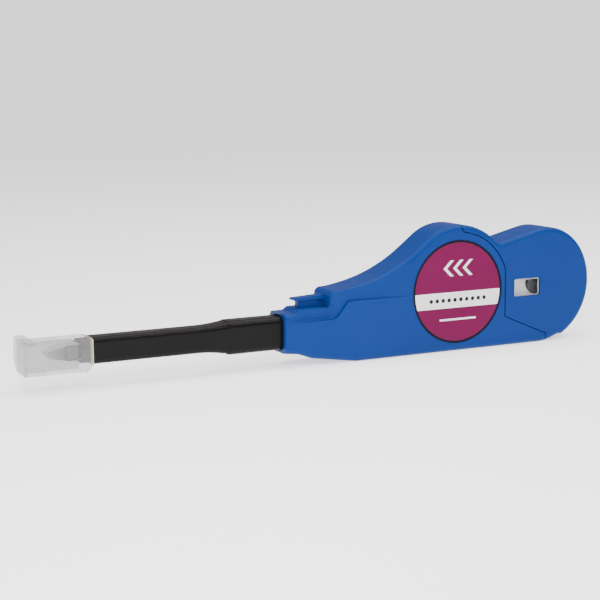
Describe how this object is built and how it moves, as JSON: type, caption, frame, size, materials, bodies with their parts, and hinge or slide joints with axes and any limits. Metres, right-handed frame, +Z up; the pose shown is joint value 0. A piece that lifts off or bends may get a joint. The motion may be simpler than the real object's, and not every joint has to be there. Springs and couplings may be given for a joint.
{
  "type": "fibre connector cleaning pen",
  "caption": "Reel-fed push cleaner for fibre connectors: flat round-backed casing with a window and round label, long slim nozzle, translucent guide cap with a flip lid.",
  "frame": {"origin": "on the casing's bottom flat, right below the take-up axis, in the middle of the thickness", "axes": "+X along the tool from the nozzle to the round rear end, +Y from the label side to the far cover, +Z up from the bottom flat"},
  "size_m": [0.2279, 0.016, 0.0478],
  "materials": {
    "casing_blue": "satin moulded",
    "lens_clear": "clear moulded plastic",
    "label_print": "printed film",
    "nozzle_black": "satin moulded",
    "inner_grey": "acetal",
    "spring_steel": "drawn wire",
    "tape_white": "woven fine fibre",
    "reel_light": "satin moulded",
    "hub_dark": "satin moulded",
    "cap_clear": "milky translucent"
  },
  "bodies": {
    "housing": {"front_shell": "casing_blue", "rear_shell": "casing_blue", "far_cover": "casing_blue", "window_lens": "lens_clear", "label": "label_print", "brake_washer": "spring_steel", "supply_run": "tape_white"},
    "carriage": {"nozzle": "nozzle_black", "head_guide": "nozzle_black", "carriage": "inner_grey", "return_spring": "spring_steel", "head_spring": "spring_steel", "tip_tape": "tape_white", "supply_strand": "tape_white", "return_strand": "tape_white"},
    "head": {"cleaning_head": "inner_grey"},
    "gear": {"drive_gear": "inner_grey"},
    "take_up": {"take_up_reel": "reel_light", "used_tape_roll": "tape_white"},
    "supply": {"supply_reel": "reel_light", "supply_hub": "hub_dark", "supply_tape_roll": "tape_white"},
    "stop_pawl": {"stop_pawl": "inner_grey"},
    "cap": {"guide_cap": "cap_clear"},
    "lid": {"cap_lid": "cap_clear"}
  },
  "joints": [
    {"name": "nozzle_slide", "type": "slide", "parent": "housing", "child": "carriage", "axis": [1, 0, 0], "range_m": [0, 0.01], "stiffness_N_per_m": 400, "springref_m": -0.01, "deforming": ["return_spring", "supply_strand", "return_strand"]},
    {"name": "head_slide", "type": "slide", "parent": "carriage", "child": "head", "axis": [1, 0, 0], "range_m": [0, 0.001], "stiffness_N_per_m": 1500, "springref_m": -0.001, "deforming": ["head_spring", "tip_tape"]},
    {"name": "gear_spin", "type": "hinge", "parent": "housing", "child": "gear", "pos_m": [0, 0, 0.0227], "axis": [0, -1, 0], "range_deg": [0, 72]},
    {"name": "take_up_spin", "type": "hinge", "parent": "housing", "child": "take_up", "pos_m": [0, 0, 0.0227], "axis": [0, -1, 0], "range_deg": [0, 72]},
    {"name": "supply_spin", "type": "hinge", "parent": "housing", "child": "supply", "pos_m": [0.0373, 0, 0.02295], "axis": [0, 1, 0], "range_deg": [0, 37.9]},
    {"name": "pawl_lift", "type": "hinge", "parent": "housing", "child": "stop_pawl", "pos_m": [-0.01955, 0, 0.0327], "axis": [0, -1, 0], "range_deg": [0, 5], "stiffness_Nm_per_rad": 0.002, "springref_deg": -11.46},
    {"name": "cap_slide", "type": "slide", "parent": "carriage", "child": "cap", "axis": [-1, 0, 0], "range_m": [0, 0.02]},
    {"name": "lid_hinge", "type": "hinge", "parent": "cap", "child": "lid", "pos_m": [-0.1656, 0, 0.00615], "axis": [0, -1, 0], "range_deg": [0, 110]}
  ],
  "couplings": [
    {"joint": "gear_spin", "follows": "nozzle_slide", "rad_per_m": 125},
    {"joint": "take_up_spin", "follows": "nozzle_slide", "rad_per_m": 125},
    {"joint": "supply_spin", "follows": "nozzle_slide", "rad_per_m": 66.07}
  ]
}
